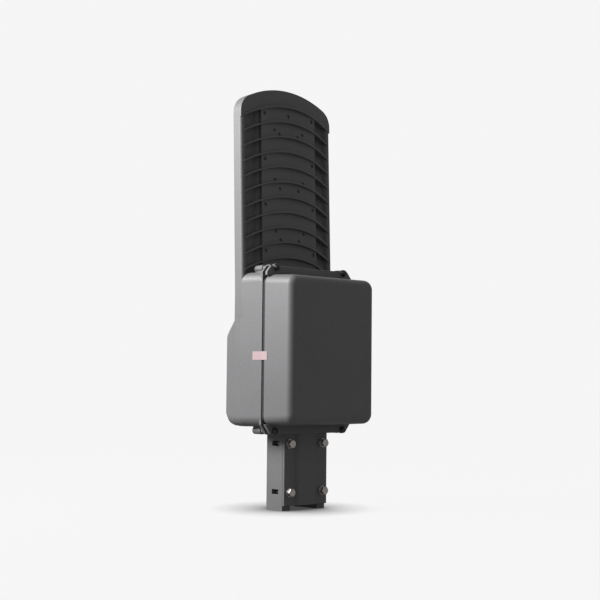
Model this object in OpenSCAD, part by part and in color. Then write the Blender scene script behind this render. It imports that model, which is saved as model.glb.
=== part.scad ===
// Solar street lamp: LED head, battery box and pole clamp in one slim unit.
// Frame: origin on the axis of the pole socket, at its open lower end.
// +Z runs up the lamp to the head's tip, +Y is the side that the LEDs face,
// -Y is the side with the cooling ribs and the battery cover.

/* [Pole clamp] */
// Outside diameter of the pole that the socket takes
pole_d = 48.3; // [42.4:0.1:48.4]
// Clearance between pole and socket, on the radius
pole_gap = 0.1; // [0.05:0.05:0.2]
// Depth of the pole socket
socket_depth = 108; // [90:1:108]
// Half width of the spigot across the bolts
spigot_half_w = 38.5; // [38:0.5:40]
// Distance of the clamp bolts from the lamp's centre line
bolt_x = 30; // [30:0.1:30.5]
// Heights of the lower and the upper pair of clamp bolts
bolt_z = [25, 90];
// Lowest and highest edge of the clamp saddle
saddle_z = [7, 106];

/* [Battery box] */
// Half width of the box at its seam
box_half_w = 77.5; // [76:0.5:79]
// Lowest edge of the box
box_z0 = 112.5; // [112:0.5:114]
// Highest edge of the box
box_z1 = 321; // [320:1:323]
// Corner radius of the box, seen from the cover's side
box_r = 13; // [10:1:15]
// Wall thickness of the box
wall = 3.5; // [3:0.5:4]
// Back face of the cover
cover_back = -80.5; // [-84:0.5:-80]
// Radius of the cover's back edges
cover_edge_r = 10; // [6:1:11]
// Distance of the cover's screws from the centre line
lug_x = 62; // [60:1:64]
// Radius of the screw lugs
lug_r = 5; // [4.8:0.1:5.2]

/* [LED head] */
// Half width of the head
head_half_w = 83; // [83:0.5:84]
// Height of the head's tip
head_tip = 585.5; // [584:0.5:588]
// Radius of the head's end curve
tip_r = 150; // [146:1:156]
// Radius of the head's two end corners
tip_corner_r = 26; // [22:1:28]
// Number of arched cooling ribs
rib_n = 11; // [9:1:11]
// Height of the top rib, at its middle
rib_z = 560.4; // [558:0.1:562]
// Distance from rib to rib
rib_pitch = 21.4; // [20:0.1:21.5]
// Thickness of a cooling rib
rib_t = 2.4; // [2:0.1:3]
// Radius of the ribs' arch
rib_arch_r = 160; // [155:1:170]

/* [Hidden] */
$fn = 48;

eps = 0.01;
// Thickness of the discs that a hull is drawn round
disc_t = 0.5;
pole_r = pole_d / 2 + pole_gap;

// Planes across the depth of the lamp
seam_base = -22.5;
seam_cover = -28;
rim_back = 17.5;
rim_front = 29.5;
bay_front = 53;
plateau_y = 9.6;
floor_y = 19;
recess_y = 22;
pocket_y = 13.6;
rib_crest_y = 4.7;
rib_crest_r = 400;
lip_r = 4.5;

// The head leans towards the lit side, about this height
lean = 2;
lean_z = 300;

// Driver bay, the deeper lower part of the box's LED side
bay_z = 246;
bay_slope_z = 266;
bay_half_w = 79;
bay_foot_r = 14;
bay_step = 0.4;

// Heat spreader plateau and LED pocket
plateau_half_w = 50;
pocket_z = [343, 555];

// Spigot cross-section
split_y = -22;
spigot_front = 31;
spigot_side_y = 10.5;
bolt_r = 3;
bolt_clear = 0.1;
bolt_len = 35;
bolt_tip_room = 4;
saddle_gap = 0.4;
saddle_t = 3.6;
saddle_outer = split_y - saddle_gap - saddle_t;
pressed_y = -29.5;
flat_washer_t = 1.6;
spring_washer_t = 2.1;
bolt_head_y = saddle_outer - flat_washer_t - spring_washer_t;
window_y = -7.5;
window_size = [13.6, 6.7];

// Cover screws
lug_z = [107.5, 326];
cover_screw_r = 2;
cover_screw_len = 20;
cover_lug_y = -33;
washer_t = 1;
screw_head_y = cover_lug_y - washer_t;

// LED modules
module_z = [386.2, 450.5, 514.9];
module_half_h = 31.8;
lens_screw_x = 43.9;
lens_screw_z = [353.9, 418.3, 482.7, 547.2];
top_screw_z = 548.3;
screw_tip_y = 10.8;
board_screw_at = [[26, 382.5], [17, 370.8], [26, 455], [17, 443], [26, 525.5], [17, 520.5]];
board_t = 1.6;
seal_t = 2.6;
lens_t = 2.5;
lens_y = pocket_y + seal_t;
led_at = [for (x = [-35, -8.5, 8.5, 35]) for (z = [-20, 0, 20]) [x, z]];

// Battery pack
cell_r = 16;
cell_len = 70;
cell_front = -1.5;
cell_at = [for (x = [-51, -17, 17, 51]) for (z = [145, 179, 213, 247, 281]) [x, z]];
rod_at = [for (x = [-34, 34]) for (z = [162, 264]) [x, z]];
holder_t = 8;
holder_half_w = 70;
holder_z = [126, 300];
plate_y = 2;
plate_t = 1.5;
boss_at = [for (x = [-66, 66]) for (z = [124, 304]) [x, z]];

// Charge controller
pcb_y = 38;
pcb_half_w = 58;
pcb_z = [134, 232];
pcb_boss_at = [for (x = [-52, 52]) for (z = [140, 226]) [x, z]];

// Puts a part of the head at the head's lean
module on_head() {
  translate([0, 0, lean_z]) rotate([-lean, 0, 0]) translate([0, 0, -lean_z]) children();
}

// A round bar along Y, from y0 to y1
module bar_y(x, z, y0, y1, r, fn = 48) {
  translate([x, y1, z]) rotate([90, 0, 0]) cylinder(r = r, h = y1 - y0, $fn = fn);
}

// A hexagon along Y, two flats upright
module hex_y(x, z, y0, y1, across_flats) {
  translate([x, y1, z]) rotate([90, 0, 0]) cylinder(r = across_flats / sqrt(3), h = y1 - y0, $fn = 6);
}

// A block between two corners
module block(a, b) {
  translate(a) cube(b - a);
}

// Four thin discs at the corners of a rounded slab, for a hull
module slab_corners(half_w, z0, z1, r, y, t = disc_t) {
  for (x = [-half_w + r, half_w - r]) for (z = [z0 + r, z1 - r]) bar_y(x, z, y, y + t, r, 32);
}

// A rounded block along Y with flat ends, true curves
module rounded_block(half_w, z0, z1, r, y0, y1) {
  block([-half_w + r, y0, z0], [half_w - r, y1, z1]);
  block([-half_w, y0, z0 + r], [half_w, y1, z1 - r]);
  for (x = [-half_w + r, half_w - r]) for (z = [z0 + r, z1 - r]) bar_y(x, z, y0, y1, r);
}

// The head's outline in X and Z, with the edge moved in by an inset
module head_outline(inset, z_low) {
  w = head_half_w - inset;
  r = tip_corner_r - inset;
  arc_z = head_tip - tip_r;
  arc_r = tip_r - inset;
  cx = w - r;
  cz = arc_z + sqrt(pow(arc_r - r, 2) - pow(cx, 2));
  dir = [cx, cz - arc_z] / (arc_r - r);
  far = [cx, cz] + dir * (r + 30);
  translate([-w, z_low]) square([2 * w, cz - z_low]);
  for (s = [-1, 1]) translate([s * cx, cz]) circle(r = r);
  intersection() {
    translate([0, arc_z]) circle(r = arc_r, $fn = 96);
    polygon([[-cx, cz - 1], [cx, cz - 1], [cx, cz], far, [-far[0], far[1]], [-cx, cz]]);
  }
}

// The outline as a slab across Y
module head_slab(inset, z_low, y0, y1) {
  translate([0, y1, 0]) rotate([90, 0, 0]) linear_extrude(height = y1 - y0) head_outline(inset, z_low);
}

// Cross-section of the ribs in X and Y, with a slightly curved crest
module crest_section() {
  intersection() {
    translate([-78, rib_crest_y - 1]) square([156, floor_y + 1.5 - rib_crest_y]);
    translate([0, rib_crest_y + rib_crest_r]) circle(r = rib_crest_r, $fn = 192);
  }
}

// Disc whose edge is the arch of one rib, across Y
module arch_disc(z, r_add) {
  bar_y(0, z - rib_arch_r, -20, 30, rib_arch_r + r_add, 96);
}

module cooling_rib(z) {
  intersection() {
    translate([0, 0, z - 30]) linear_extrude(height = 34) crest_section();
    difference() {
      arch_disc(z, rib_t / 2);
      arch_disc(z, -rib_t / 2);
    }
  }
}

// Section of the head's tray: rim with a round lip, side floors and sloped foot of the plateau
module tray_section() {
  lip_x = head_half_w - lip_r + 0.1;
  half = [[head_half_w + 1, rim_front], [head_half_w + 1, rim_back], [lip_x, rim_back - lip_r + 0.05],
          [lip_x - 3, rim_back - 3.4], [lip_x - 6.5, floor_y], [56, floor_y], [51.5, 14.5], [50, 14.5]];
  mirrored = [for (i = [len(half) - 1 : -1 : 0]) [-half[i][0], half[i][1]]];
  polygon(concat(half, mirrored));
  for (s = [-1, 1]) translate([s * lip_x, rim_back]) circle(r = lip_r);
}

module head_tray() {
  intersection() {
    head_slab(0, 262, 0, rim_front);
    translate([0, 0, 255]) linear_extrude(height = 340) tray_section();
  }
  // plateau over the LED boards, ending at the top rib
  intersection() {
    block([-plateau_half_w, plateau_y, 300], [plateau_half_w, 19, 575]);
    arch_disc(rib_z, 0);
  }
  // smooth end pad above the top rib
  intersection() {
    head_slab(0.05, 510, 13.2, 20);
    difference() {
      block([-90, 0, 510], [90, 25, 595]);
      arch_disc(rib_z, 0);
    }
  }
  for (i = [0 : rib_n - 1]) cooling_rib(rib_z - i * rib_pitch);
}

// The box's base shell and driver bay, as solid or, moved in by the wall, as cavity
module base_shape(inset) {
  w = box_half_w - inset;
  z0 = box_z0 + inset;
  z1 = box_z1 - inset;
  r = box_r - inset;
  y_back = inset == 0 ? seam_base : seam_base - 5;
  y_step = inset == 0 ? rim_front : 18;
  w_step = head_half_w - 0.15 - (inset == 0 ? 0 : inset + 1);
  hull() {
    slab_corners(w, z0 + 1, z1 - 1, r, y_back);
    slab_corners(w_step, z0, z1, r, rim_back - 1, y_step - rim_back + 1);
  }
  hull() {
    slab_corners(w_step - bay_step, z0 + bay_step, bay_slope_z + 6 - inset, r, y_step - 6);
    slab_corners(w_step - bay_step, z0 + bay_step, bay_slope_z - inset, r, y_step - disc_t);
    slab_corners(bay_half_w + 1.5 - inset, z0 + bay_step, bay_z + 10.5 - inset, r, bay_front - bay_foot_r - inset);
    slab_corners(bay_half_w + 0.4 - inset, z0 + 2, bay_z + 3.5 - inset, r, bay_front - bay_foot_r / 2 - inset);
    slab_corners(bay_half_w - 0.6 - inset, z0 + 7, bay_z - 1 - inset, r, bay_front - 2.5 - inset);
    slab_corners(bay_half_w - 8 - inset, z0 + bay_foot_r, bay_z - 6 - inset, 8, bay_front - inset - disc_t);
  }
}

// Strips along the seam, past the box's top and bottom edges
module seam_strips(y0, y1) {
  for (s = [-1, 1]) mirror([s < 0 ? 1 : 0, 0, 0]) {
    translate([0, y1, 0]) rotate([90, 0, 0]) linear_extrude(height = y1 - y0) {
      polygon([[0, 310], [0, 328.6], [70, 328.4], [77.4, 319.6], [77.4, 308]]);
      polygon([[42, 120], [42, 103.5], [68, 103.5], [77.4, 116], [77.4, 125]]);
    }
  }
}

module spigot_solid() {
  front_w = spigot_half_w - spigot_front + spigot_side_y;
  half = [[spigot_half_w, split_y], [spigot_half_w, spigot_side_y], [front_w, spigot_front]];
  linear_extrude(height = box_z0 + 4) {
    polygon(concat(half, [for (i = [2 : -1 : 0]) [-half[i][0], half[i][1]]]));
  }
}

// Screw hole through the plateau, with a wider mouth on the ribs' side
module screw_hole(x, z, r, mouth_r) {
  bar_y(x, z, plateau_y - 1, 15, r + 0.05);
  bar_y(x, z, plateau_y - 1, plateau_y + 1.6, mouth_r);
}

module lamp_housing() {
  color([0.33, 0.33, 0.34]) difference() {
    union() {
      on_head() head_tray();
      base_shape(0);
      seam_strips(seam_base, seam_base + 4);
      spigot_solid();
      for (x = [-lug_x, lug_x]) for (z = lug_z) {
        web = [min(z, z < 200 ? 115 : 318), max(z, z < 200 ? 115 : 318)];
        bar_y(x, z, seam_base, -15, lug_r);
        bar_y(x, z, -15.5, -7.5, lug_r - 1.2);
        bar_y(x, z, -8, 8, lug_r);
        block([x - 3.6, seam_base, web[0]], [x + 3.6, -15, web[1]]);
        block([x - 3.6, -8, web[0]], [x + 3.6, 8, web[1]]);
      }
    }
    // battery and controller space
    difference() {
      base_shape(wall);
      for (p = boss_at) bar_y(p[0], p[1], plate_y, 60, 4.5);
      for (p = pcb_boss_at) bar_y(p[0], p[1], pcb_y, 60, 4);
    }
    for (p = boss_at) bar_y(p[0], p[1], plate_y - 1, plate_y + 10, 2.05);
    for (p = pcb_boss_at) bar_y(p[0], p[1], pcb_y - 1, pcb_y + 6, 1.55);
    // LED side of the head: shallow recess and board pocket
    on_head() {
      head_slab(4, 276, recess_y, rim_front + 5);
      block([-49.5, pocket_y, pocket_z[0]], [49.5, recess_y + 1, pocket_z[1]]);
      // screw holes right through the plateau, and the lead's passage
      for (x = [-lens_screw_x, lens_screw_x]) for (z = lens_screw_z) screw_hole(x, z, 2, 2.7);
      for (s = [-1, 1]) for (p = board_screw_at) screw_hole(s * p[0], p[1], 1.5, 2.2);
      screw_hole(0, top_screw_z, 2, 2.7);
      translate([-30, 14.5, box_z1 - 10]) cylinder(r = 2.4, h = 35);
    }
    // cover screws' threads
    for (x = [-lug_x, lug_x]) for (z = lug_z) bar_y(x, z, seam_base - 1, -2, cover_screw_r + 0.05);
    // pole socket, open on the saddle's side and at the bottom
    translate([0, 0, -1]) cylinder(r = pole_r, h = socket_depth + 1, $fn = 96);
    block([-pole_r, split_y - 10, -1], [pole_r, 0, socket_depth]);
    block([-20, 15, -1], [20, 40, 12]);
    // lead hole from the socket into the box
    translate([0, 4, socket_depth - 1]) cylinder(r = 9, h = 12);
    // flat seats for the bush's two flanges
    translate([0, 4, socket_depth - 1]) cylinder(r = 11.1, h = 2.6);
    translate([0, 4, box_z0 + wall]) cylinder(r = 11.5, h = 3);
    // clamp bolts' threaded holes and the side windows across them
    for (x = [-bolt_x, bolt_x]) for (z = bolt_z) {
      bar_y(x, z, split_y - 1, bolt_head_y + bolt_len + bolt_tip_room, bolt_r + bolt_clear);
    }
    for (s = [-1, 1]) for (z = bolt_z) {
      block([min(s * 27, s * 45), window_y - window_size[0] / 2, z - window_size[1] / 2],
            [max(s * 27, s * 45), window_y + window_size[0] / 2, z + window_size[1] / 2]);
    }
  }
}

module cover_shape(inset) {
  w = box_half_w - inset;
  z0 = box_z0 + 2 + inset;
  z1 = box_z1 - 4.5 - inset;
  r = box_r - inset;
  e = cover_edge_r - inset;
  draft = 3;
  hull() {
    slab_corners(w, z0, z1, r, inset == 0 ? seam_cover - disc_t : seam_cover + 3);
    for (a = [0 : 15 : 90]) {
      slab_corners(w - 0.8 - e * (1 - cos(a)), z0 + draft + e * (1 - cos(a)), z1 - draft - e * (1 - cos(a)),
                   max(2, r - e * (1 - cos(a))), cover_back + cover_edge_r - e * sin(a));
    }
  }
}

module battery_cover() {
  color([0.33, 0.33, 0.34]) difference() {
    union() {
      cover_shape(0);
      seam_strips(seam_cover - 4, seam_cover);
      for (x = [-lug_x, lug_x]) for (z = lug_z) bar_y(x, z, cover_lug_y, seam_cover, lug_r);
    }
    cover_shape(wall - 0.3);
    for (x = [-lug_x, lug_x]) for (z = lug_z) bar_y(x, z, cover_lug_y - 5, seam_cover + 1, cover_screw_r + 0.4);
  }
}

module cover_seal() {
  color([0.07, 0.07, 0.07]) difference() {
    rounded_block(box_half_w - 1, box_z0 + 3, box_z1 - 5.5, box_r - 1, seam_cover, seam_base);
    rounded_block(box_half_w - wall - 1, box_z0 + 5.6, box_z1 - 8.1, box_r - 3.5, seam_cover - 1, seam_base + 1);
  }
}

// A thin label stuck on the base shell; its loose end lies over the seam and the cover
module tamper_sticker() {
  color([0.93, 0.88, 0.88]) translate([0, 0, 202]) linear_extrude(height = 11.3)
    polygon([[-79.85, -6.3], [-77.6, -22.5], [-77.6, -33.6], [-77.8, -33.6], [-77.8, -22.5], [-80.05, -6.3]]);
}

// Pan-head screw with a cross slot, head towards -Y
module pan_screw(x, z, y, r, len, head_r, head_t) {
  difference() {
    union() {
      bar_y(x, z, y - 0.5, y + len, r);
      bar_y(x, z, y - head_t * 0.6, y, head_r);
      translate([x, y - head_t * 0.6 + eps, z]) rotate([90, 0, 0]) cylinder(r1 = head_r, r2 = head_r * 0.6, h = head_t * 0.4);
    }
    for (a = [0, 90]) translate([x, y - head_t, z]) rotate([0, a, 0]) cube([head_r * 1.1, head_t, head_r * 0.26], center = true);
  }
}

module cover_screw(x, z) {
  color([0.6, 0.6, 0.6]) pan_screw(x, z, screw_head_y, cover_screw_r, cover_screw_len, 3.9, 2.6);
}

module cover_washer(x, z) {
  color([0.65, 0.65, 0.66]) difference() {
    bar_y(x, z, screw_head_y, cover_lug_y, 4.6);
    bar_y(x, z, screw_head_y - 1, cover_lug_y + 1, cover_screw_r + 0.1);
  }
}

module clamp_saddle() {
  inner = split_y - saddle_gap;
  color([0.35, 0.35, 0.36]) difference() {
    union() {
      block([-spigot_half_w, saddle_outer, saddle_z[0]], [spigot_half_w, inner, saddle_z[1]]);
      // pressed-out middle that lies round the pole
      translate([0, 0, saddle_z[0]]) linear_extrude(height = saddle_z[1] - saddle_z[0]) {
        polygon([[-19, inner], [-19, saddle_outer - 0.2], [-15, pressed_y], [15, pressed_y],
                 [19, saddle_outer - 0.2], [19, inner]]);
      }
    }
    translate([0, 0, -1]) cylinder(r = pole_r, h = 200, $fn = 96);
    for (x = [-bolt_x, bolt_x]) for (z = bolt_z) bar_y(x, z, -40, 0, bolt_r + 0.5);
  }
}

module clamp_bolt(x, z) {
  color([0.7, 0.69, 0.66]) {
    bar_y(x, z, bolt_head_y, bolt_head_y + bolt_len - 1, bolt_r);
    translate([x, bolt_head_y + bolt_len - 1 - eps, z]) rotate([-90, 0, 0]) cylinder(r1 = bolt_r, r2 = bolt_r - 1, h = 1);
    intersection() {
      hex_y(x, z, bolt_head_y - 4, bolt_head_y, 10);
      union() {
        bar_y(x, z, bolt_head_y - 3.4, bolt_head_y, 6.2);
        translate([x, bolt_head_y - 3.4 + eps, z]) rotate([90, 0, 0]) cylinder(r1 = 5.75, r2 = 4.85, h = 0.62);
      }
    }
  }
}

module clamp_flat_washers() {
  color([0.62, 0.62, 0.62]) for (x = [-bolt_x, bolt_x]) for (z = bolt_z) difference() {
    bar_y(x, z, saddle_outer - flat_washer_t, saddle_outer, 6.2);
    bar_y(x, z, -60, 0, bolt_r + 0.3);
  }
}

module clamp_spring_washers() {
  y1 = saddle_outer - flat_washer_t;
  color([0.5, 0.5, 0.5]) for (x = [-bolt_x, bolt_x]) for (z = bolt_z) difference() {
    bar_y(x, z, y1 - spring_washer_t, y1, 5.2);
    bar_y(x, z, -60, 0, bolt_r + 0.3);
    translate([x, y1 - spring_washer_t / 2, z + 4.5]) rotate([0, 20, 0]) cube([0.8, 5, 4], center = true);
  }
}

module lens_plate(zc) {
  color([0.85, 0.9, 0.95, 0.6]) on_head() difference() {
    union() {
      block([-48.5, lens_y, zc - module_half_h], [48.5, lens_y + lens_t, zc + module_half_h]);
      for (s = [-1, 1]) block([min(s * 42, s * 48.5), pocket_y + 0.05, zc - module_half_h],
                              [max(s * 42, s * 48.5), lens_y + eps, zc + module_half_h]);
      for (p = led_at) {
        bar_y(p[0], zc + p[1], lens_y + lens_t - eps, lens_y + lens_t + 2, 8);
        translate([p[0], lens_y + lens_t + 2, zc + p[1]]) rotate([-90, 0, 0]) cylinder(r1 = 8, r2 = 4.5, h = 3.5);
      }
    }
    for (x = [-lens_screw_x, lens_screw_x]) for (z = lens_screw_z) bar_y(x, z, 0, 40, 2.3);
    bar_y(0, top_screw_z, 0, 40, 2.3);
  }
}

module lens_seal(zc) {
  color([0.8, 0.8, 0.78]) on_head() difference() {
    rounded_block(41.2, zc - 29, zc + 29, 5, pocket_y, lens_y);
    rounded_block(39.2, zc - 27, zc + 27, 3, pocket_y - 1, lens_y + 1);
  }
}

module led_board(zc) {
  color([0.9, 0.9, 0.88]) on_head() difference() {
    rounded_block(38.8, zc - 26.6, zc + 26.6, 2.5, pocket_y, pocket_y + board_t);
    for (s = [-1, 1]) for (p = board_screw_at) bar_y(s * p[0], p[1], 0, 40, 1.7);
  }
}

module led_chips(zc) {
  y = pocket_y + board_t;
  color([0.95, 0.85, 0.3]) on_head() for (p = led_at) {
    block([p[0] - 1.75, y, zc + p[1] - 1.75], [p[0] + 1.75, y + 0.7, zc + p[1] + 1.75]);
  }
}

// Screws that come from the LED side; their tips end inside the plateau's hole mouths
module front_screw(x, z, seat, r, tip_y, head_r, head_t) {
  difference() {
    union() {
      bar_y(x, z, tip_y, seat + 0.5, r);
      bar_y(x, z, seat, seat + head_t, head_r);
    }
    for (a = [0, 90]) translate([x, seat + head_t, z]) rotate([0, a, 0]) cube([head_r * 1.1, head_t, head_r * 0.26], center = true);
  }
}

module lens_screws() {
  color([0.6, 0.6, 0.6]) on_head() {
    for (x = [-lens_screw_x, lens_screw_x]) for (z = lens_screw_z) {
      front_screw(x, z, lens_y + lens_t, 2, screw_tip_y, 4.2, 2.4);
    }
    front_screw(0, top_screw_z, pocket_y, 2, screw_tip_y, 4.2, 2.4);
  }
}

module board_screws() {
  color([0.6, 0.6, 0.6]) on_head() for (s = [-1, 1]) for (p = board_screw_at) {
    front_screw(s * p[0], p[1], pocket_y + board_t, 1.5, screw_tip_y, 2.6, 0.9);
  }
}

module battery_plate() {
  color([0.72, 0.73, 0.75]) difference() {
    rounded_block(71, 119, 309, 6, plate_y - plate_t, plate_y);
    for (p = boss_at) bar_y(p[0], p[1], -20, 20, 2.3);
    for (p = rod_at) bar_y(p[0], p[1], -20, 20, 2.05);
    block([-25, -5, 119 - 1], [25, 5, 124]);
    bar_y(-30, 308, -20, 20, 4);
  }
}

module plate_screws() {
  color([0.6, 0.6, 0.6]) for (p = boss_at) pan_screw(p[0], p[1], plate_y - plate_t, 2, 9, 3.6, 2.4);
}

module cell_holder(y0, y1) {
  color([0.1, 0.1, 0.1]) difference() {
    rounded_block(holder_half_w, holder_z[0], holder_z[1], 8, y0, y1);
    for (p = cell_at) bar_y(p[0], p[1], y0 - 1, y1 + 1, cell_r + 0.15);
    for (p = rod_at) bar_y(p[0], p[1], y0 - 1, y1 + 1, 2.1);
    for (p = boss_at) bar_y(p[0], p[1], y0 - 1, y1 + 1, 6);
  }
}

module front_cell_holder() {
  cell_holder(cell_front - holder_t, cell_front);
}

module rear_cell_holder() {
  cell_holder(cell_front - cell_len, cell_front - cell_len + holder_t);
}

module battery_cells() {
  color([0.1, 0.35, 0.65]) for (p = cell_at) {
    bar_y(p[0], p[1], cell_front - cell_len, cell_front - 0.5, cell_r);
    bar_y(p[0], p[1], cell_front - 1, cell_front, 5);
  }
}

module nickel_strips() {
  t = 0.3;
  rear = cell_front - cell_len;
  color([0.75, 0.75, 0.72]) for (x = [-51, -17, 17, 51]) {
    block([x - 6, cell_front, 137], [x + 6, cell_front + t, 289]);
    block([x - 6, rear - t, 137], [x + 6, rear, 289]);
  }
}

// Long screws that hold both cell holders to the plate
module pack_rods() {
  rear = cell_front - cell_len;
  color([0.62, 0.62, 0.62]) for (p = rod_at) {
    bar_y(p[0], p[1], rear, plate_y + 1.5, 2);
    hex_y(p[0], p[1], rear - 2.8, rear, 6);
  }
}

module foam_pad() {
  inner_back = cover_back + wall - 0.3;
  color([0.15, 0.15, 0.16]) difference() {
    rounded_block(56, 140, 286, 6, inner_back, inner_back + 2);
    bar_y(0, 213, -90, -60, 12);
  }
}

module bms_board() {
  color([0.05, 0.3, 0.15]) difference() {
    rounded_block(50, 262, 298, 2, 7, 8.6);
    for (x = [-46, 46]) for (z = [266, 294]) bar_y(x, z, 0, 20, 1.6);
  }
}

module bms_parts() {
  color([0.12, 0.12, 0.13]) for (x = [-12 : 9 : 33]) {
    block([x - 3, 8.6, 280], [x + 3, 10.8, 288]);
    block([x - 3, 8.6, 268], [x + 3, 10.2, 273]);
  }
}

module bms_standoffs() {
  color([0.75, 0.65, 0.35]) for (x = [-46, 46]) for (z = [266, 294]) {
    hex_y(x, z, plate_y, 7, 5);
    bar_y(x, z, 6.5, 8.7, 1.5);
    bar_y(x, z, 8.6, 10.2, 2.8);
  }
}

module controller_board() {
  color([0.05, 0.28, 0.14]) difference() {
    rounded_block(pcb_half_w, pcb_z[0], pcb_z[1], 3, pcb_y - board_t, pcb_y);
    for (p = pcb_boss_at) bar_y(p[0], p[1], 20, 50, 1.7);
  }
}

module controller_inductor() {
  color([0.7, 0.4, 0.15]) for (x = [-22, 22]) {
    translate([x, pcb_y - board_t, 168]) rotate([90, 0, 0]) rotate_extrude() translate([9, 5]) circle(r = 5);
  }
}

module controller_capacitors() {
  y = pcb_y - board_t;
  color([0.15, 0.15, 0.2]) {
    for (x = [-40, -26, 40]) bar_y(x, 200, y - 20, y, 5);
    bar_y(0, 205, y - 22, y, 8);
  }
}

module controller_terminals() {
  y = pcb_y - board_t;
  color([0.1, 0.45, 0.2]) for (x = [-30, 18]) {
    difference() {
      block([x - 9, y - 11, 220], [x + 9, y, 230]);
      for (dx = [-5, 0, 5]) translate([x + dx, y - 5, 224]) cylinder(r = 1.4, h = 10);
    }
  }
}

module controller_screws() {
  color([0.6, 0.6, 0.6]) for (p = pcb_boss_at) pan_screw(p[0], p[1], pcb_y - board_t, 1.5, 6, 2.8, 2);
}

// A wire through a list of points, round at the bends
module wire(points, r) {
  for (i = [0 : len(points) - 2]) {
    d = points[i + 1] - points[i];
    angle = acos(d[2] / norm(d));
    turn = atan2(d[1], d[0]);
    translate(points[i]) rotate([0, angle, turn]) cylinder(r = r, h = norm(d), $fn = 24);
  }
  for (i = [1 : len(points) - 2]) translate(points[i]) sphere(r = r * 1.08, $fn = 24);
}

module battery_lead_red() {
  color([0.75, 0.08, 0.06]) wire([[18, 31.4, 228], [18, 31.4, 238], [14, 14, 256], [14, 10.3, 264]], 1.3);
}

module battery_lead_black() {
  color([0.08, 0.08, 0.08]) wire([[23, 31.4, 228], [23, 31.4, 238], [19, 14, 256], [19, 10.3, 264]], 1.3);
}

module led_lead() {
  color([0.85, 0.85, 0.82]) wire([[-30, 31.4, 228], [-30, 31.4, 238], [-30, 14.5, 262], [-30, 16.8, 348.4]], 1.3);
}

// Rubber bush in the hole between socket and box
module cable_grommet() {
  z0 = socket_depth;
  z1 = box_z0 + wall;
  color([0.06, 0.06, 0.06]) translate([0, 4, 0]) difference() {
    union() {
      translate([0, 0, z0]) cylinder(r = 11, h = 1.5);
      translate([0, 0, z0 + 1]) cylinder(r = 8.9, h = z1 - z0);
      translate([0, 0, z1]) cylinder(r = 11, h = 2.5);
    }
    translate([0, 0, z0 - 5]) cylinder(r = 5, h = 30);
  }
}

lamp_housing();
battery_cover();
cover_seal();
tamper_sticker();
cover_screw(-lug_x, lug_z[1]);  // cover_screw_1
cover_screw(lug_x, lug_z[1]);  // cover_screw_2
cover_screw(-lug_x, lug_z[0]);  // cover_screw_3
cover_screw(lug_x, lug_z[0]);  // cover_screw_4
cover_washer(-lug_x, lug_z[1]);  // cover_washer_1
cover_washer(lug_x, lug_z[1]);  // cover_washer_2
cover_washer(-lug_x, lug_z[0]);  // cover_washer_3
cover_washer(lug_x, lug_z[0]);  // cover_washer_4
clamp_saddle();
clamp_bolt(-bolt_x, bolt_z[1]);  // clamp_bolt_1
clamp_bolt(bolt_x, bolt_z[1]);  // clamp_bolt_2
clamp_bolt(-bolt_x, bolt_z[0]);  // clamp_bolt_3
clamp_bolt(bolt_x, bolt_z[0]);  // clamp_bolt_4
clamp_flat_washers();
clamp_spring_washers();
lens_plate(module_z[0]);  // lens_plate_1
lens_plate(module_z[1]);  // lens_plate_2
lens_plate(module_z[2]);  // lens_plate_3
lens_seal(module_z[0]);  // lens_seal_1
lens_seal(module_z[1]);  // lens_seal_2
lens_seal(module_z[2]);  // lens_seal_3
led_board(module_z[0]);  // led_board_1
led_board(module_z[1]);  // led_board_2
led_board(module_z[2]);  // led_board_3
led_chips(module_z[0]);  // led_chips_1
led_chips(module_z[1]);  // led_chips_2
led_chips(module_z[2]);  // led_chips_3
lens_screws();
board_screws();
battery_plate();
plate_screws();
front_cell_holder();
rear_cell_holder();
battery_cells();
nickel_strips();
pack_rods();
foam_pad();
bms_board();
bms_parts();
bms_standoffs();
controller_board();
controller_inductor();
controller_capacitors();
controller_terminals();
controller_screws();
battery_lead_red();
battery_lead_black();
led_lead();
cable_grommet();
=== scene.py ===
"""Solar street lamp: an LED head, a battery box and a pole clamp in one slim cast unit.

The lamp stands on the open end of its pole socket. Its LEDs face +Y; the cooling ribs
and the battery cover face -Y. All lengths are metres.
"""
import math

import bmesh
import bpy
from mathutils import Matrix, Vector


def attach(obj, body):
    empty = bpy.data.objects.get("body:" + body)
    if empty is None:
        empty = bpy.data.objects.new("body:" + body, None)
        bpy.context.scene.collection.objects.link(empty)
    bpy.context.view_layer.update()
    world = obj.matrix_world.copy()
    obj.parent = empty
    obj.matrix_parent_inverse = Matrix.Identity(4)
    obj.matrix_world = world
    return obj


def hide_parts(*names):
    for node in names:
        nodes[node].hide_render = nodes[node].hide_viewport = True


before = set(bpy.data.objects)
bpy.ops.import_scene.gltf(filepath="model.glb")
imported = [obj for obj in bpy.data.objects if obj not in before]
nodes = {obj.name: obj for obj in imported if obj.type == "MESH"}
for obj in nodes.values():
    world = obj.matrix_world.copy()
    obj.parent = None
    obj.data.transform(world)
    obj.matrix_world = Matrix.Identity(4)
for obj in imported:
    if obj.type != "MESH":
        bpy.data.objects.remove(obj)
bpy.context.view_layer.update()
MM = 0.001


# --- Camera ------------------------------------------------------------------------
# A long lens from the left of the lamp's back, a little above its clamp and tilted
# slightly up, so the whole lamp stands in the square frame.
camera_place = Vector((-1105.2, -1255.7, 171.5)) * MM
camera_bearing = math.radians(41.24 + 0.359)
camera_rise = math.radians(3.948)
camera_roll = math.radians(-0.584)

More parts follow.
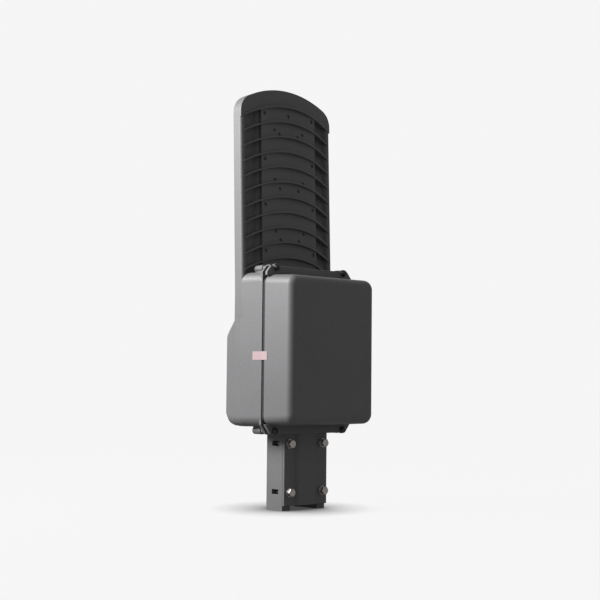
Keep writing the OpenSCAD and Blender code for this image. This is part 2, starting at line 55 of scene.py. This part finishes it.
level_ahead = Vector((math.sin(camera_bearing), math.cos(camera_bearing), 0))
level_right = Vector((math.cos(camera_bearing), -math.sin(camera_bearing), 0))
ahead = level_ahead * math.cos(camera_rise) + Vector((0, 0, math.sin(camera_rise)))
above = Vector((0, 0, math.cos(camera_rise))) - level_ahead * math.sin(camera_rise)
right = level_right * math.cos(camera_roll) - above * math.sin(camera_roll)
top = level_right * math.sin(camera_roll) + above * math.cos(camera_roll)

bpy.ops.object.camera_add(location=camera_place)
camera = bpy.context.object
camera.name = "studio_camera"
camera.data.sensor_width = 36
camera.data.lens = 72.35
camera.data.clip_end = 50
axes = Matrix((right, top, -ahead)).transposed()
camera.rotation_euler = axes.to_euler()
bpy.context.scene.camera = camera


# --- Studio ------------------------------------------------------------------------
# A pale seamless floor that glows evenly, with a painted contact shadow darkening its glow
# round the lamp's foot, a broad soft key light from the far left and above, and an even pale surround
# that fills the shadows.
class Value:
    """A shader socket that takes part in plain arithmetic."""

    def __init__(self, finish, socket):
        self.finish = finish
        self.socket = socket

    def _with(self, operation, first, second):
        return self.finish.add("ShaderNodeMath", {"operation": operation},
                               {0: first, 1: second})

    def __add__(self, other):
        return self._with("ADD", self, other)

    def __mul__(self, other):
        return self._with("MULTIPLY", self, other)

    def __pow__(self, other):
        return self._with("POWER", self, other)

    __radd__ = __add__
    __rmul__ = __mul__


class Finish:
    """A material under construction; add() makes any node and gives back one output."""

    def __init__(self, name, **constants):
        self.material = bpy.data.materials.new(name)
        self.material.use_nodes = True
        self.tree = self.material.node_tree
        self.shader = self.tree.nodes["Principled BSDF"]
        for socket, value in constants.items():
            self.shader.inputs[socket.replace("_", " ")].default_value = value
        self.place = self.add("ShaderNodeTexCoord", output="Object")

    def add(self, kind, settings=None, inputs=None, output=0):
        node = self.tree.nodes.new(kind)
        for key, value in (settings or {}).items():
            if key == "stops":
                self._set_stops(node.color_ramp, value)
            else:
                setattr(node, key, value)
        for socket, value in (inputs or {}).items():
            self.feed(node.inputs[socket], value)
        return Value(self, node.outputs[output])

    def _set_stops(self, ramp, stops):
        while len(ramp.elements) < len(stops):
            ramp.elements.new(0.5)
        for element, (position, shade) in zip(ramp.elements, stops):
            element.position = position
            element.color = (shade, shade, shade, 1)

    def feed(self, socket, value):
        if isinstance(value, Value):
            self.tree.links.new(value.socket, socket)
        else:
            socket.default_value = value

    def noise(self, scale, detail=3.0, roughness=0.55, stretch=(1, 1, 1)):
        place = self.place
        if stretch != (1, 1, 1):
            place = self.add("ShaderNodeMapping", inputs={"Vector": place, "Scale": stretch})
        return self.add("ShaderNodeTexNoise", inputs={
            "Vector": place, "Scale": scale, "Detail": detail, "Roughness": roughness})

    def ramp(self, factor, *stops):
        return self.add("ShaderNodeValToRGB", {"stops": stops}, {"Fac": factor})

    def mix(self, factor, first, second, blend="MIX"):
        """Mixes two colours; a colour is a socket's value or three numbers."""
        colours = [c if isinstance(c, Value) else (*c, 1) for c in (first, second)]
        return self.add("ShaderNodeMix", {"data_type": "RGBA", "blend_type": blend}, {
            "Factor": factor, 6: colours[0], 7: colours[1]}, output=2)

    def colour(self, value):
        self.feed(self.shader.inputs["Base Color"], value)

    def roughness(self, value):
        self.feed(self.shader.inputs["Roughness"], value)

    def relief(self, height, depth, strength=1.0, edge=0.0):
        """Bumps the surface; edge is the radius that sharp edges are softened to."""
        inputs = {"Height": height, "Distance": depth, "Strength": strength}
        if edge:
            inputs["Normal"] = self.add("ShaderNodeBevel", {"samples": 4}, {"Radius": edge})
        self.feed(self.shader.inputs["Normal"], self.add("ShaderNodeBump", inputs=inputs))


paper = Finish("floor_paper", Roughness=1.0, Specular_IOR_Level=0.0, Emission_Strength=0.913)
paper.colour(paper.mix(paper.noise(3.0), (0.004, 0.004, 0.004), (0.006, 0.006, 0.006)))
# painted shadow: the floor's glow fades towards a dark grey where the lamp's foot occludes it, and it
# glows at full strength towards the camera but only about a quarter as strongly towards the lamp
painted_shadow_mask = paper.add("ShaderNodeAmbientOcclusion", {"samples": 16}, {"Distance": 0.085}, output=1)
seen_directly = paper.add("ShaderNodeLightPath")
glow_with_painted_shadow = (painted_shadow_mask ** 2.4) * (0.26 + 0.74 * seen_directly)
paper.feed(paper.shader.inputs["Emission Color"],
           paper.mix(glow_with_painted_shadow, (0.06, 0.06, 0.06), (1.0, 1.0, 1.0)))

bpy.ops.mesh.primitive_plane_add(size=60, location=(0, 0, 0))
floor = bpy.context.object
floor.name = "studio_floor"
floor.data.materials.append(paper.material)

world = bpy.data.worlds.new("studio_surround")
world.use_nodes = True
surround = world.node_tree
backdrop = surround.nodes["Background"]
backdrop.inputs["Color"].default_value = (0.917, 0.917, 0.917, 1)
fill = surround.nodes.new("ShaderNodeBackground")
fill.inputs["Color"].default_value = (0.400, 0.400, 0.410, 1)
seen = surround.nodes.new("ShaderNodeLightPath")
choice = surround.nodes.new("ShaderNodeMixShader")
surround.links.new(seen.outputs["Is Camera Ray"], choice.inputs["Fac"])
surround.links.new(fill.outputs["Background"], choice.inputs[1])
surround.links.new(backdrop.outputs["Background"], choice.inputs[2])
surround.links.new(choice.outputs["Shader"], surround.nodes["World Output"].inputs["Surface"])
bpy.context.scene.world = world
bpy.context.scene.view_settings.view_transform = "Standard"


def studio_panel(name, place, aim, size, strength):
    """A square soft box at place that points at aim."""
    bpy.ops.object.light_add(type="AREA", location=place)
    lamp = bpy.context.object
    lamp.name = name
    lamp.rotation_euler = (Vector(aim) - Vector(place)).to_track_quat("-Z", "Y").to_euler()
    lamp.data.size = size
    lamp.data.energy = strength


studio_panel("key_light", (-1.15, 0.55, 1.0), (0, 0, 0.33), 0.7, 65)


# --- Lamp housing ------------------------------------------------------------------
# One aluminium pressure casting, powder coated in a fine grey texture: the clamp's
# half of the pole socket, the battery and driver box, and the ribbed LED head.
def powder_coat(name, tint):
    """Grey textured powder coat with small pores, a slight mottle and rubbed edges."""
    coat = Finish(name, Specular_IOR_Level=0.42)
    grain = coat.noise(950.0, 2.0, 0.6)
    pebbles = coat.noise(420.0, 3.0, 0.6)
    mottle = coat.noise(14.0, 4.0, 0.6)
    shade = coat.mix(coat.ramp(mottle, (0.3, 0.0), (0.7, 1.0)),
                     [c * 0.94 for c in tint], [c * 1.06 for c in tint])
    shade = coat.mix(coat.ramp(grain, (0.35, 0.0), (0.65, 1.0)) * 0.35,
                     shade, [c * 1.7 for c in tint])
    coat.colour(shade)
    coat.roughness(0.46 + 0.16 * pebbles)
    coat.relief(pebbles * 0.6 + grain * 0.4, 0.00022, 0.8, edge=0.0007)
    return coat.material


def dress(material, *names):
    """Gives CAD nodes their finish."""
    for name in names:
        node = nodes[name]
        node.data.materials.clear()
        node.data.materials.append(material)


coated = powder_coat("grey_powder_coat", (0.080, 0.080, 0.082))
dress(coated, "lamp_housing", "clamp_saddle")


# --- Battery cover -----------------------------------------------------------------
# A second pressure casting in the same coating: a deep, softly rounded lid whose rim
# widens into thin strips over the box's ends, with a bored lug for each corner screw.
cover_half_w = 0.0775
cover_low, cover_high = 0.1145, 0.3165
cover_back, cover_seam = -0.0805, -0.028
cover_wall = 0.0032
side_draft, end_draft = 0.0008, 0.003
side_round, back_round, strip_round, lug_round = 0.013, 0.010, 0.0008, 0.0007
strip_back = -0.032
lug_back, lug_radius, lug_bore = -0.033, 0.005, 0.0024
near = 0.0001
lug_places = [(x, z) for x in (-0.062, 0.062) for z in (0.1075, 0.326)]


def pick(piece, kind, wanted):
    """In edit mode, selects the faces or edges for which wanted(middle, element) holds."""
    bpy.ops.mesh.select_mode(type=kind)
    bpy.ops.mesh.select_all(action="DESELECT")
    shape = bmesh.from_edit_mesh(piece.data)
    for element in shape.faces if kind == "FACE" else shape.edges:
        middle = sum((corner.co for corner in element.verts), Vector()) / len(element.verts)
        if wanted(middle, element):
            element.select_set(True)
    shape.select_flush_mode()
    bmesh.update_edit_mesh(piece.data)


def start_block(name, low, high):
    """Adds a box between two corners and opens it in edit mode, at the origin."""
    bpy.ops.object.select_all(action="DESELECT")
    bpy.ops.mesh.primitive_cube_add(size=1, location=(0, 0, 0))
    piece = bpy.context.object
    piece.name = name
    low, high = Vector(low), Vector(high)
    piece.dimensions = high - low
    piece.location = (low + high) / 2
    bpy.ops.object.transform_apply(location=True, rotation=True, scale=True)
    bpy.ops.object.mode_set(mode="EDIT")
    return piece


def finish_piece(piece, material):
    """Smooths the shading, except at sharp edges, and gives the piece its finish."""
    bpy.ops.object.shade_smooth_by_angle(angle=math.radians(40))
    piece.data.materials.clear()
    piece.data.materials.append(material)


def join_pieces(first, *others):
    """Joins finished pieces into the first one."""
    bpy.ops.object.select_all(action="DESELECT")
    for piece in (first, *others):
        piece.select_set(True)
    bpy.context.view_layer.objects.active = first
    bpy.ops.object.join()


# the lid: a drafted box, its long edges and then its back rounded, open at the seam
cover = start_block("battery_cover_shell", (-cover_half_w, cover_back, cover_low),
                    (cover_half_w, cover_seam, cover_high))
pick(cover, "FACE", lambda middle, face: face.normal.y < -0.9)
bpy.ops.transform.resize(value=(1 - side_draft / cover_half_w, 1,
                                1 - end_draft / ((cover_high - cover_low) / 2)))
pick(cover, "EDGE", lambda middle, edge: abs(edge.verts[0].co.y - edge.verts[1].co.y) > 0.04)
bpy.ops.mesh.bevel(offset=side_round, segments=10, profile=0.5, affect="EDGES", clamp_overlap=False)
pick(cover, "FACE", lambda middle, face: face.normal.y > 0.9)
bpy.ops.mesh.delete(type="FACE")
pick(cover, "EDGE", lambda middle, edge: all(v.co.y < cover_back + near for v in edge.verts))
bpy.ops.mesh.bevel(offset=back_round, segments=10, profile=0.5, affect="EDGES", clamp_overlap=False)
bpy.ops.mesh.select_all(action="SELECT")
bpy.ops.mesh.remove_doubles(threshold=0.00001)
bpy.ops.mesh.normals_make_consistent(inside=False)
bpy.ops.object.mode_set(mode="OBJECT")
wall = cover.modifiers.new("wall", "SOLIDIFY")
wall.thickness = cover_wall
wall.offset = -1
wall.use_even_offset = True
bpy.ops.object.modifier_apply(modifier="wall")


def cover_strip(name, inner_z, outer_z, corner_x, corner_z, shoulder_z):
    """One thin end strip of the rim, with its outer corners cut off."""
    low_z, high_z = min(inner_z, outer_z), max(inner_z, outer_z)
    strip = start_block(name, (-cover_half_w, strip_back, low_z),
                        (cover_half_w, cover_seam, high_z))
    for side in (-1, 1):
        outward = Vector((side * abs(shoulder_z - corner_z), 0,
                          math.copysign(cover_half_w - corner_x, outer_z - inner_z)))
        bpy.ops.mesh.select_all(action="SELECT")
        bpy.ops.mesh.bisect(plane_co=(side * corner_x, cover_seam, corner_z),
                            plane_no=outward.normalized(), use_fill=True, clear_outer=True)
    pick(strip, "EDGE", lambda middle, edge: all(v.co.y < strip_back + near for v in edge.verts))
    bpy.ops.mesh.bevel(offset=strip_round, segments=3, profile=0.5, affect="EDGES", clamp_overlap=True)
    bpy.ops.object.mode_set(mode="OBJECT")
    return strip


upper_strip = cover_strip("upper_strip", 0.3148, 0.3284, 0.070, 0.3284, 0.3196)
lower_strip = cover_strip("lower_strip", 0.1165, 0.1035, 0.068, 0.1035, 0.1160)

# the four lugs, each bored for its screw
lugs = []
for number, (x, z) in enumerate(lug_places, start=1):
    bpy.ops.object.select_all(action="DESELECT")
    bpy.ops.mesh.primitive_cylinder_add(
        vertices=40, radius=lug_radius, depth=cover_seam - lug_back,
        location=(x, (cover_seam + lug_back) / 2, z), rotation=(math.radians(90), 0, 0))
    lug = bpy.context.object
    lug.name = f"cover_lug_{number}"
    bpy.ops.object.transform_apply(location=True, rotation=True, scale=True)
    bpy.ops.object.mode_set(mode="EDIT")
    pick(lug, "FACE", lambda middle, face: abs(face.normal.y) > 0.9)
    bpy.ops.mesh.inset(thickness=lug_radius - lug_bore, use_boundary=True)
    bpy.ops.mesh.bridge_edge_loops()
    pick(lug, "EDGE", lambda middle, edge: all(v.co.y < lug_back + near for v in edge.verts)
         and abs((edge.verts[0].co - Vector((x, lug_back, z))).length - lug_radius) < 0.0003
         and abs((edge.verts[1].co - Vector((x, lug_back, z))).length - lug_radius) < 0.0003)
    bpy.ops.mesh.bevel(offset=lug_round, segments=3, profile=0.5, affect="EDGES", clamp_overlap=True)
    bpy.ops.object.mode_set(mode="OBJECT")
    lugs.append(lug)

join_pieces(cover, upper_strip, lower_strip, *lugs)
finish_piece(cover, coated)
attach(cover, "cover")
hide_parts("battery_cover")


# --- Cover screws and washers ------------------------------------------------------
# Four black zinc-plated M4 pan-head screws, each with a plain washer, held captive in
# the cover's corner lugs.
def bright_metal(name, tint, rough, streaks=(1, 1, 1)):
    """Machined or plated metal: fine tool lines, a dull bloom and rubbed edges."""
    metal = Finish(name, Metallic=1.0)
    lines = metal.noise(2600.0, 2.0, 0.5, streaks)
    bloom = metal.noise(160.0, 4.0, 0.6)
    metal.colour(metal.mix(metal.ramp(bloom, (0.35, 0.0), (0.75, 1.0)),
                           tint, [c * 0.72 for c in tint]))
    metal.roughness(rough + 0.18 * bloom)
    metal.relief(lines, 0.00003, 0.5, edge=0.0003)
    return metal.material


zinc = bright_metal("zinc_plate", (0.50, 0.50, 0.51), 0.22, (1, 0.08, 1))
dress(zinc, "clamp_flat_washers", "plate_screws", "pack_rods", "controller_screws")

blackened = bright_metal("black_zinc_plate", (0.085, 0.082, 0.080), 0.30, (1, 0.08, 1))
dress(blackened, *[f"cover_screw_{n}" for n in range(1, 5)],
      *[f"cover_washer_{n}" for n in range(1, 5)], "lens_screws", "board_screws")


# --- Cover seal and cable bush -----------------------------------------------------
# Black EPDM: a moulded ring squeezed between cover and housing, and a turned bush in
# the hole that the leads take from the pole.
def rubber(name, tint, grain_size):
    """Matt rubber with a faint bloom and the fine pitting of its mould."""
    skin = Finish(name, Specular_IOR_Level=0.3)
    pits = skin.noise(grain_size, 3.0, 0.6)
    bloom = skin.noise(60.0, 4.0, 0.6)
    skin.colour(skin.mix(skin.ramp(bloom, (0.4, 0.0), (0.8, 1.0)) * 0.5,
                         tint, [c * 2.2 for c in tint]))
    skin.roughness(0.62 + 0.2 * bloom)
    skin.relief(pits, 0.00008, 0.6, edge=0.0005)
    return skin.material


black_rubber = rubber("black_rubber", (0.012, 0.012, 0.013), 1500.0)
dress(black_rubber, "cover_seal", "cable_grommet")
dress(rubber("closed_cell_foam", (0.030, 0.030, 0.032), 520.0), "foam_pad")
dress(rubber("pale_silicone", (0.60, 0.60, 0.57), 900.0), *[f"lens_seal_{n}" for n in range(1, 4)])


# --- Tamper label ------------------------------------------------------------------
# A blank paper label stuck across the seam; it carries only a faint pink guilloche of
# waves, without any lettering.
label = Finish("label_paper", Specular_IOR_Level=0.25)
ripples = label.add("ShaderNodeTexWave", {"wave_type": "BANDS", "bands_direction": "Z"}, {
    "Vector": label.place, "Scale": 320.0, "Distortion": 3.0, "Detail": 2.0, "Detail Scale": 1.2})
label.colour(label.mix(label.ramp(ripples, (0.35, 0.0), (0.65, 1.0)) * 0.6,
                       (0.300, 0.235, 0.242), (0.270, 0.150, 0.165)))
label.roughness(0.5 + 0.2 * label.noise(900.0))
label.relief(label.noise(2200.0, 4.0), 0.00003, 0.6)
dress(label.material, "tamper_sticker")


# --- Clamp bolts and washers -------------------------------------------------------
# Four stainless M6 hexagon bolts, each on a spring washer and a flat washer, draw the
# saddle against the spigot round the pole.
stainless = bright_metal("stainless_steel", (0.56, 0.53, 0.49), 0.20, (1, 0.05, 1))
dress(stainless, *[f"clamp_bolt_{n}" for n in range(1, 5)], "clamp_spring_washers")


# --- LED modules -------------------------------------------------------------------
# Three aluminium LED boards under clear moulded optics, one dome to each LED.
optic = Finish("clear_polycarbonate", Transmission_Weight=1.0, IOR=1.586)
optic.colour(optic.mix(optic.noise(40.0), (0.90, 0.93, 0.95), (0.96, 0.98, 0.98)))
optic.roughness(0.03 + 0.05 * optic.noise(300.0))
optic.relief(optic.noise(120.0, 2.0), 0.00004, 0.4)
dress(optic.material, *[f"lens_plate_{n}" for n in range(1, 4)])


def solder_mask(name, mask, track, pitch):
    """A lacquered board with the copper tracks showing through the lacquer."""
    board = Finish(name, Coat_Weight=0.6, Coat_Roughness=0.15)
    tracks = board.add("ShaderNodeTexBrick", {"offset": 0.5}, {
        "Vector": board.add("ShaderNodeMapping", inputs={
            "Vector": board.place, "Rotation": (math.radians(90), 0, 0)}),
        "Scale": pitch, "Mortar Size": 0.05, "Mortar Smooth": 0.2,
        "Brick Width": 0.9, "Row Height": 0.35})
    lines = board.add("ShaderNodeRGBToBW", inputs={"Color": tracks})
    grime = board.noise(90.0, 4.0)
    board.colour(board.mix(board.ramp(lines, (0.2, 1.0), (0.45, 0.0)) * 0.6, mask, track))
    board.roughness(0.28 + 0.18 * grime)
    board.relief(lines, 0.00004, 0.7, edge=0.0003)
    return board.material


white_mask = solder_mask("white_solder_mask", (0.80, 0.80, 0.77), (0.66, 0.66, 0.62), 90.0)
green_mask = solder_mask("green_solder_mask", (0.012, 0.120, 0.050), (0.040, 0.230, 0.090), 160.0)
dress(white_mask, *[f"led_board_{n}" for n in range(1, 4)])
dress(green_mask, "bms_board", "controller_board")

phosphor = Finish("led_phosphor", Subsurface_Weight=0.15, Coat_Weight=0.5)
phosphor.colour(phosphor.mix(phosphor.noise(1500.0), (0.80, 0.62, 0.10), (0.92, 0.80, 0.24)))
phosphor.roughness(0.35 + 0.2 * phosphor.noise(2500.0))
phosphor.relief(phosphor.noise(3000.0), 0.00003, 0.5, edge=0.0003)
dress(phosphor.material, *[f"led_chips_{n}" for n in range(1, 4)])


# --- Battery pack ------------------------------------------------------------------
# Twenty sleeved cells between two moulded holders, strapped in nickel and held to a
# galvanised plate by long screws.
def moulded(name, tint, rough, coat=0.0):
    """Moulded or extruded plastic with flow marks and a fine spark-eroded grain."""
    plastic = Finish(name, Coat_Weight=coat, Coat_Roughness=0.2)
    flow = plastic.noise(25.0, 4.0, 0.6, (1, 1, 0.3))
    grain = plastic.noise(1800.0, 3.0, 0.6)
    plastic.colour(plastic.mix(plastic.ramp(flow, (0.3, 0.0), (0.7, 1.0)),
                               [c * 0.88 for c in tint], [c * 1.12 for c in tint]))
    plastic.roughness(rough + 0.15 * flow)
    plastic.relief(grain, 0.00004, 0.6, edge=0.0004)
    return plastic.material


dress(moulded("black_abs", (0.020, 0.020, 0.022), 0.45), "front_cell_holder", "rear_cell_holder")
dress(moulded("blue_cell_sleeve", (0.020, 0.110, 0.330), 0.25, coat=0.5), "battery_cells")
dress(bright_metal("nickel_strip", (0.62, 0.60, 0.55), 0.26, (1, 1, 0.05)), "nickel_strips")

galvanised = Finish("galvanised_sheet", Metallic=1.0)
spangle = galvanised.add("ShaderNodeTexVoronoi", {"feature": "F1"}, {
    "Vector": galvanised.place, "Scale": 95.0})
spangles = galvanised.add("ShaderNodeTexVoronoi", {"feature": "F1"}, {
    "Vector": galvanised.place, "Scale": 95.0}, output=1)
tone = galvanised.add("ShaderNodeRGBToBW", inputs={"Color": spangles})
galvanised.colour(galvanised.mix(tone, (0.46, 0.48, 0.51), (0.66, 0.68, 0.70)))
galvanised.roughness(0.28 + 0.25 * tone)
galvanised.relief(spangle, 0.00002, 0.4, edge=0.0003)
dress(galvanised.material, "battery_plate")


# --- Battery guard and charge controller -------------------------------------------
# Two small circuit boards: the cells' guard board on brass standoffs, and the charge
# controller with its chokes, capacitors and screw terminals.
dress(moulded("black_epoxy", (0.018, 0.018, 0.020), 0.40), "bms_parts")
dress(bright_metal("turned_brass", (0.70, 0.48, 0.18), 0.20, (1, 0.1, 1)), "bms_standoffs")
dress(moulded("capacitor_sleeve", (0.016, 0.016, 0.045), 0.22, coat=0.5), "controller_capacitors")
dress(moulded("green_nylon", (0.020, 0.210, 0.070), 0.38), "controller_terminals")

winding = Finish("enamelled_copper", Metallic=1.0, Coat_Weight=0.4)
turns = winding.add("ShaderNodeTexWave", {"wave_type": "RINGS", "rings_direction": "Y"}, {
    "Vector": winding.place, "Scale": 220.0, "Distortion": 0.6})
winding.colour(winding.mix(turns, (0.28, 0.09, 0.03), (0.72, 0.32, 0.12)))
winding.roughness(0.25 + 0.2 * turns)
winding.relief(turns, 0.00025, 0.8)
dress(winding.material, "controller_inductor")


# --- Leads -------------------------------------------------------------------------
# Short PVC and silicone leads from the boards' terminals to the cells and the LEDs.
dress(moulded("red_pvc", (0.500, 0.020, 0.015), 0.35), "battery_lead_red")
dress(moulded("black_pvc", (0.018, 0.018, 0.018), 0.35), "battery_lead_black")
dress(moulded("white_silicone", (0.700, 0.700, 0.660), 0.50), "led_lead")
